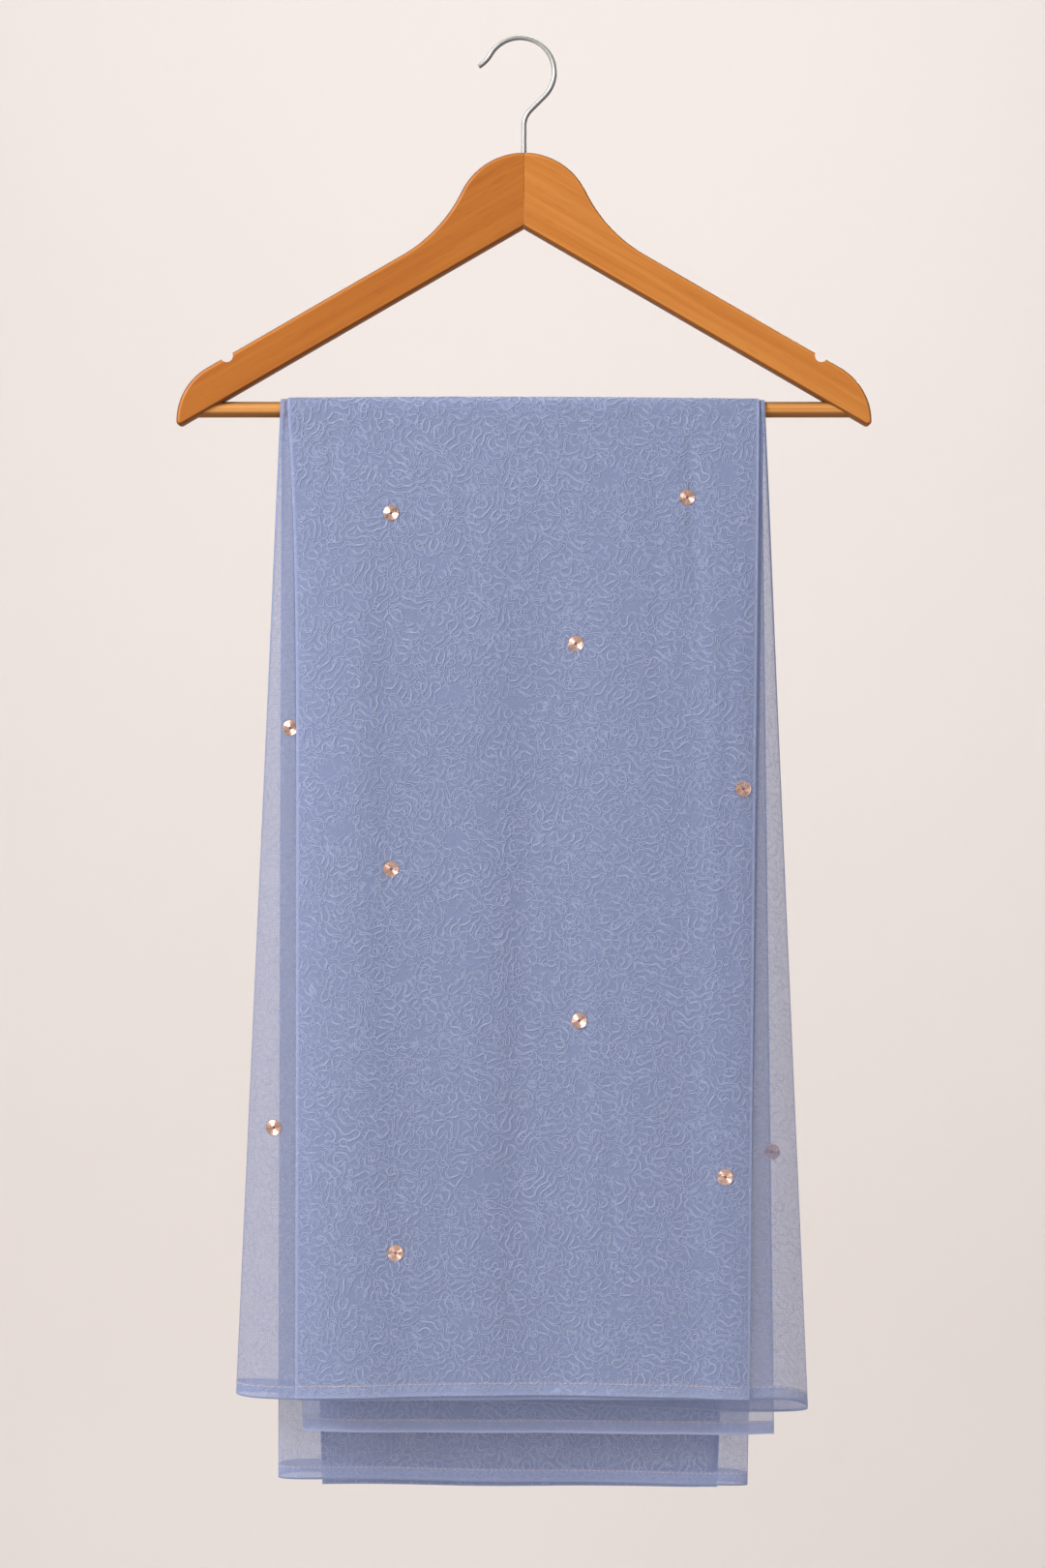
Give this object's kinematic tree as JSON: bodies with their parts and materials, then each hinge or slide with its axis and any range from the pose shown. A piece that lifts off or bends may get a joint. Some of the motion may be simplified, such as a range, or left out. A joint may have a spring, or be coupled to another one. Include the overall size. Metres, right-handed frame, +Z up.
{
  "type": "dupatta stole on wooden hanger",
  "caption": "Long embroidered net stole folded lengthwise over the bar of a wooden hanger, its plies stepped at the hems, hung from a bent wire hook.",
  "frame": {"origin": "on the inner face of the hook, straight above its stem, where a nail or rail holds the part up", "axes": "+Z up, +X along the hanger's bar to the viewer's right, -Y the front with the panel's dense face"},
  "size_m": [0.44, 0.0632, 0.9254],
  "materials": {
    "net": "sheer periwinkle-blue net with tone-on-tone wandering line embroidery, soft and matt",
    "stitch": "pinkish-gold sewing thread with a soft metallic sheen",
    "sequin": "polished rose-gold sequins with fine concentric ridges",
    "wood_left": "clear satin varnish over warm orange-brown hardwood, the darker half",
    "wood_right": "clear satin varnish over warm orange-brown hardwood, the lighter half",
    "wood_bar": "clear satin varnish over a turned hardwood bar",
    "steel": "bright drawn steel wire, lightly brushed along its length"
  },
  "bodies": {
    "root": {"panel_front": "net", "panel_back": "net", "loose_front": "net", "loose_back": "net", "inner_front": "net", "inner_back": "net", "arm_left": "wood_left", "arm_right": "wood_right", "trouser_bar": "wood_bar", "hook": "steel"}
  },
  "joints": []
}
